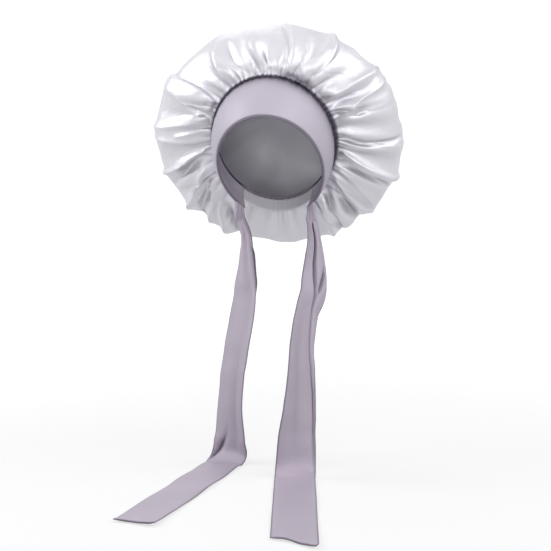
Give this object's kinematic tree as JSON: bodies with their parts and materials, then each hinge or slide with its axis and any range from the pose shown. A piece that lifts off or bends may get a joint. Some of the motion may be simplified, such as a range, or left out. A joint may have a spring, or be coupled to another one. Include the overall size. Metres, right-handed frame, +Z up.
{
  "type": "tie-back satin shower and sleep cap",
  "caption": "Puffed satin cap gathered onto a wide stretch headband with an elastic nape casing and long flat tie straps that hang from the band ends.",
  "frame": {"origin": "middle of the wearer's head, at the height of the middle of the face, inside the head opening", "axes": "+Z up, -Y out of the face opening, +X to the wearer's left"},
  "size_m": [0.3495, 0.573, 0.5988],
  "materials": {
    "crown_satin": "silver-white satin",
    "lining_satin": "silver-white satin lining",
    "band_knit": "lavender stretch satin knit",
    "tie_knit": "lavender stretch satin knit",
    "edge_piping": "rolled grey-lavender edge",
    "seam_thread": "dark grey-lavender overlocked thread",
    "elastic": "white woven elastic"
  },
  "bodies": {
    "cap": {"headband_facing": "band_knit", "headband_outer": "band_knit", "front_edge_piping": "edge_piping", "gather_seam": "seam_thread", "crown_outer": "crown_satin", "crown_lining": "lining_satin", "nape_casing": "lining_satin", "nape_elastic": "elastic", "left_tie_anchor": "tie_knit", "right_tie_anchor": "tie_knit"},
    "left_tie": {"left_tie_drop": "tie_knit"},
    "left_tail": {"left_tie_tail": "tie_knit"},
    "right_tie": {"right_tie_drop": "tie_knit"},
    "right_tail": {"right_tie_tail": "tie_knit"}
  },
  "joints": [
    {"name": "left_tie_swing", "type": "hinge", "parent": "cap", "child": "left_tie", "pos_m": [-0.04989, 0.05375, -0.07652], "axis": [-1, 0, 0], "range_deg": [-40, 55]},
    {"name": "left_tail_fold", "type": "hinge", "parent": "left_tie", "child": "left_tail", "pos_m": [-0.06589, 0.00875, -0.4128], "axis": [-0.9848, 0.1736, 0], "range_deg": [-75, 60]},
    {"name": "right_tie_swing", "type": "hinge", "parent": "cap", "child": "right_tie", "pos_m": [0.04989, 0.05375, -0.07652], "axis": [-1, 0, 0], "range_deg": [-40, 55]},
    {"name": "right_tail_fold", "type": "hinge", "parent": "right_tie", "child": "right_tail", "pos_m": [0.04039, -0.06525, -0.4128], "axis": [-0.9945, -0.1045, 0], "range_deg": [-75, 60]}
  ]
}
